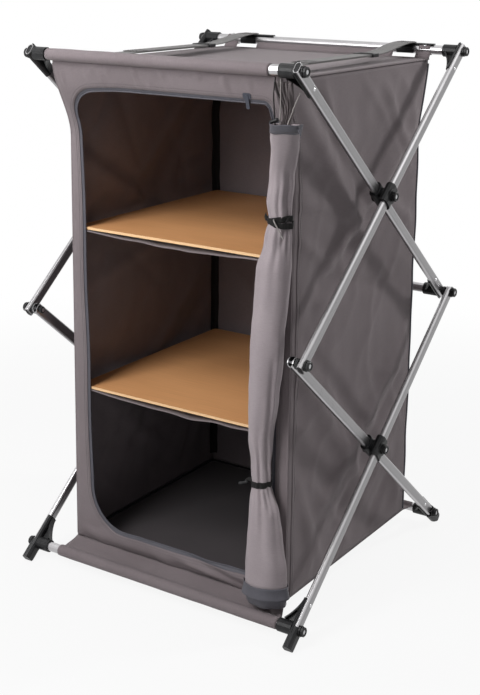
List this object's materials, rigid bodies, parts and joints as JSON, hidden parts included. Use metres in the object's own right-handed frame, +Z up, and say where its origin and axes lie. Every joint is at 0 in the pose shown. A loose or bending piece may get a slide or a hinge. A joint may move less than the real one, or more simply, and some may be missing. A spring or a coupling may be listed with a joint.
{
  "type": "folding camping cupboard",
  "caption": "Soft cupboard on a folding scissor frame: cloth box with shelf boards and a roll-up front door.",
  "frame": {"origin": "on the ground under the middle of the frame", "axes": "+Z up, +X to the right facing the front, front at -Y"},
  "size_m": [0.6596, 0.6788, 1.0483],
  "materials": {
    "aluminium": "satin anodised tube",
    "black_bolts": "black coated bolts with a bare centre",
    "black_nylon": "moulded black nylon",
    "taupe_cloth": "coated polyester weave",
    "grey_webbing": "woven webbing",
    "wood_board": "smooth light board",
    "zip_metal": "slate coated die casting"
  },
  "bodies": {
    "base": {"floor_panel": "taupe_cloth", "cover_front": "taupe_cloth", "cover_wrap": "taupe_cloth", "door_roll": "taupe_cloth"},
    "front_legs": {"tube_lower_front_left": "aluminium", "tube_lower_front_right": "aluminium", "bar_bottom_front": "aluminium", "bracket_bottom_front_left": "black_nylon", "bracket_bottom_front_right": "black_nylon", "clamp_lower_outer_left": "black_nylon", "clamp_lower_outer_right": "black_nylon", "bolt_lower_cross_left": "black_bolts", "bolt_lower_cross_right": "black_bolts", "bolt_mid_rear_left": "black_bolts", "bolt_mid_rear_right": "black_bolts"},
    "rear_legs": {"tube_lower_rear_left": "aluminium", "tube_lower_rear_right": "aluminium", "bar_bottom_rear": "aluminium", "bracket_bottom_rear_left": "black_nylon", "bracket_bottom_rear_right": "black_nylon", "clamp_lower_inner_left": "black_nylon", "clamp_lower_inner_right": "black_nylon"},
    "upper_front": {"tube_upper_front_left": "aluminium", "tube_upper_front_right": "aluminium", "bar_top_front": "aluminium", "bar_mid_rear": "aluminium", "bracket_top_front_left": "black_nylon", "bracket_top_front_right": "black_nylon", "bracket_mid_rear_left": "black_nylon", "bracket_mid_rear_right": "black_nylon", "clamp_upper_inner_left": "black_nylon", "clamp_upper_inner_right": "black_nylon"},
    "upper_rear": {"tube_upper_rear_left": "aluminium", "tube_upper_rear_right": "aluminium", "bar_top_rear": "aluminium", "bracket_top_rear_left": "black_nylon", "bracket_top_rear_right": "black_nylon", "clamp_upper_outer_left": "black_nylon", "clamp_upper_outer_right": "black_nylon", "bolt_upper_cross_left": "black_bolts", "bolt_upper_cross_right": "black_bolts", "bolt_mid_front_left": "black_bolts", "bolt_mid_front_right": "black_bolts"},
    "top": {"top_panel": "taupe_cloth", "strap_front_left": "grey_webbing", "strap_front_right": "grey_webbing", "strap_adjuster_left": "black_nylon", "strap_adjuster_right": "black_nylon"},
    "top_rear": {"top_rear_band": "taupe_cloth", "strap_tail_left": "grey_webbing", "strap_tail_right": "grey_webbing"},
    "rear_clips": {"strap_clip_left": "black_nylon", "strap_clip_right": "black_nylon"},
    "floor_tail": {"skirt_rear": "taupe_cloth"},
    "shelf_low": {"shelf_board_low": "wood_board", "shelf_sling_low": "taupe_cloth"},
    "shelf_high": {"shelf_board_high": "wood_board", "shelf_sling_high": "taupe_cloth"},
    "zip": {"zip_slider": "zip_metal"}
  },
  "joints": [
    {"name": "fold", "type": "hinge", "parent": "base", "child": "front_legs", "pos_m": [0, -0.3, 0.03], "axis": [-1, 0, 0], "range_deg": [0, 34.81], "deforming": ["cover_front", "cover_wrap", "door_roll"]},
    {"name": "lower_cross", "type": "hinge", "parent": "front_legs", "child": "rear_legs", "pos_m": [0, 0, 0.28], "axis": [1, 0, 0], "range_deg": [0, 70.12]},
    {"name": "mid_rear", "type": "hinge", "parent": "front_legs", "child": "upper_front", "pos_m": [0, 0.3, 0.53], "axis": [1, 0, 0], "range_deg": [0, 70.12]},
    {"name": "upper_cross", "type": "hinge", "parent": "upper_front", "child": "upper_rear", "pos_m": [0, 0, 0.78], "axis": [-1, 0, 0], "range_deg": [0, 70.12]},
    {"name": "top_turn", "type": "hinge", "parent": "upper_front", "child": "top", "pos_m": [0, -0.3, 1.03], "axis": [-1, 0, 0], "range_deg": [0, 35.11]},
    {"name": "clips_turn", "type": "hinge", "parent": "upper_rear", "child": "rear_clips", "pos_m": [0, 0.3, 1.03], "axis": [1, 0, 0], "range_deg": [0, 35.11]},
    {"name": "straps_let_out", "type": "slide", "parent": "top", "child": "top_rear", "axis": [0, 1, 0], "range_m": [0, 0.1786]},
    {"name": "floor_let_out", "type": "slide", "parent": "base", "child": "floor_tail", "axis": [0, 1, 0], "range_m": [0, 0.1786]},
    {"name": "shelf_low_drop", "type": "slide", "parent": "base", "child": "shelf_low", "axis": [0, 0, -1], "range_m": [0, 0.2942]},
    {"name": "shelf_high_drop", "type": "slide", "parent": "base", "child": "shelf_high", "axis": [0, 0, -1], "range_m": [0, 0.575]},
    {"name": "zip_run", "type": "slide", "parent": "top", "child": "zip", "axis": [-1, 0, 0], "range_m": [0, 0.345]}
  ],
  "couplings": [
    {"joint": "lower_cross", "follows": "fold", "ratio": 2},
    {"joint": "mid_rear", "follows": "fold", "ratio": 2},
    {"joint": "upper_cross", "follows": "fold", "ratio": 2},
    {"joint": "top_turn", "follows": "fold", "ratio": 1},
    {"joint": "clips_turn", "follows": "fold", "ratio": 1},
    {"joint": "straps_let_out", "follows": "fold", "m_per_rad": 0.2931},
    {"joint": "floor_let_out", "follows": "fold", "m_per_rad": 0.2931},
    {"joint": "shelf_low_drop", "follows": "fold", "m_per_rad": 0.4834},
    {"joint": "shelf_high_drop", "follows": "fold", "m_per_rad": 0.9456}
  ]
}
